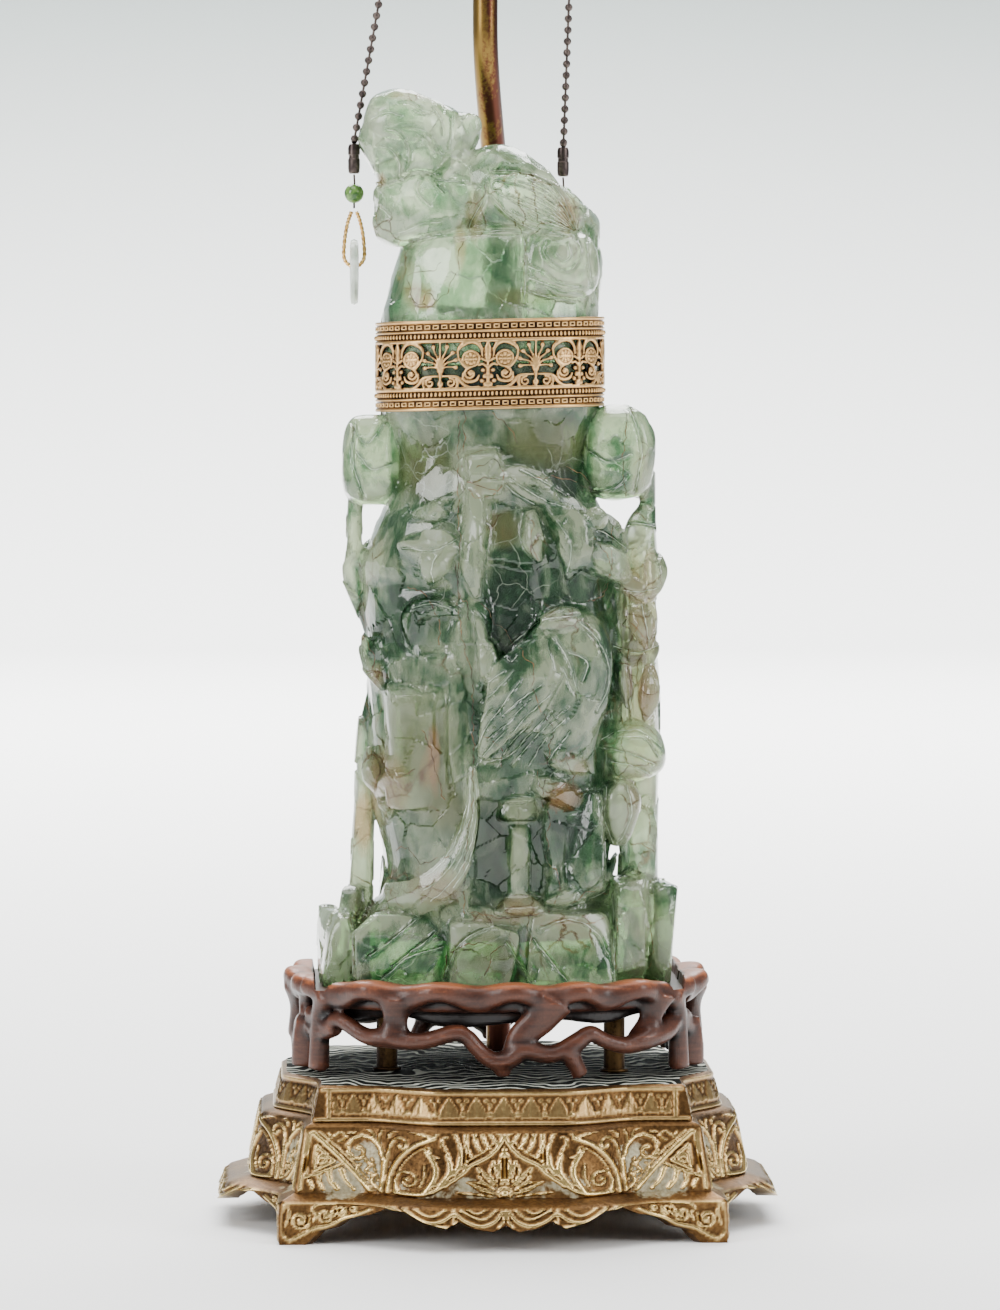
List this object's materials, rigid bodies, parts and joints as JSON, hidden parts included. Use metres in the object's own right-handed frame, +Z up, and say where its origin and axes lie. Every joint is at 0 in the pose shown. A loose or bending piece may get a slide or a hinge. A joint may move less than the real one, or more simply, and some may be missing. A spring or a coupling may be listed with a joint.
{
  "type": "carved stone table lamp",
  "caption": "Table lamp: carved green fluorite vase with a bird lid, pierced gallery, fretted wood stand, cast brass base, bent pipe and pull-chain sockets.",
  "frame": {"origin": "centre of the base's footprint on the table", "axes": "+Z up along the lamp, -Y towards the viewer of the carved front, +X to that viewer's right"},
  "size_m": [0.222, 0.222, 0.6893],
  "materials": {
    "cast_brass": "patinated",
    "pipe_brass": "satin",
    "stem_brass": "tarnished",
    "rosewood": "semi-gloss",
    "vase_fluorite": "polished",
    "lid_fluorite": "polished",
    "gilt_brass": "antique gilt",
    "chain_metal": "dark",
    "green_jade": "polished",
    "white_jade": "polished",
    "gold_wire": "bright",
    "liner_porcelain": "glazed"
  },
  "bodies": {
    "root": {"cast_base": "cast_brass", "cord_bushing": "pipe_brass", "support_post_1": "pipe_brass", "support_post_2": "pipe_brass", "wood_stand": "rosewood", "fluorite_vase": "vase_fluorite", "fluorite_lid": "lid_fluorite", "pierced_gallery": "gilt_brass", "stem_pipe": "stem_brass", "stem_nut": "pipe_brass", "cluster_body": "pipe_brass", "socket_left": "pipe_brass", "socket_right": "pipe_brass", "socket_liner_left": "liner_porcelain", "socket_liner_right": "liner_porcelain", "shade_riser": "pipe_brass", "shade_finial": "pipe_brass", "pull_chain_left": "chain_metal", "pull_chain_right": "chain_metal", "chain_connector_left": "chain_metal", "chain_connector_right": "chain_metal", "pull_wire_left": "chain_metal", "pull_wire_right": "chain_metal", "jade_bead_left": "green_jade", "jade_bead_right": "green_jade", "gold_loop_left": "gold_wire", "gold_loop_right": "gold_wire", "jade_ring_left": "white_jade", "jade_ring_right": "white_jade"}
  },
  "joints": []
}
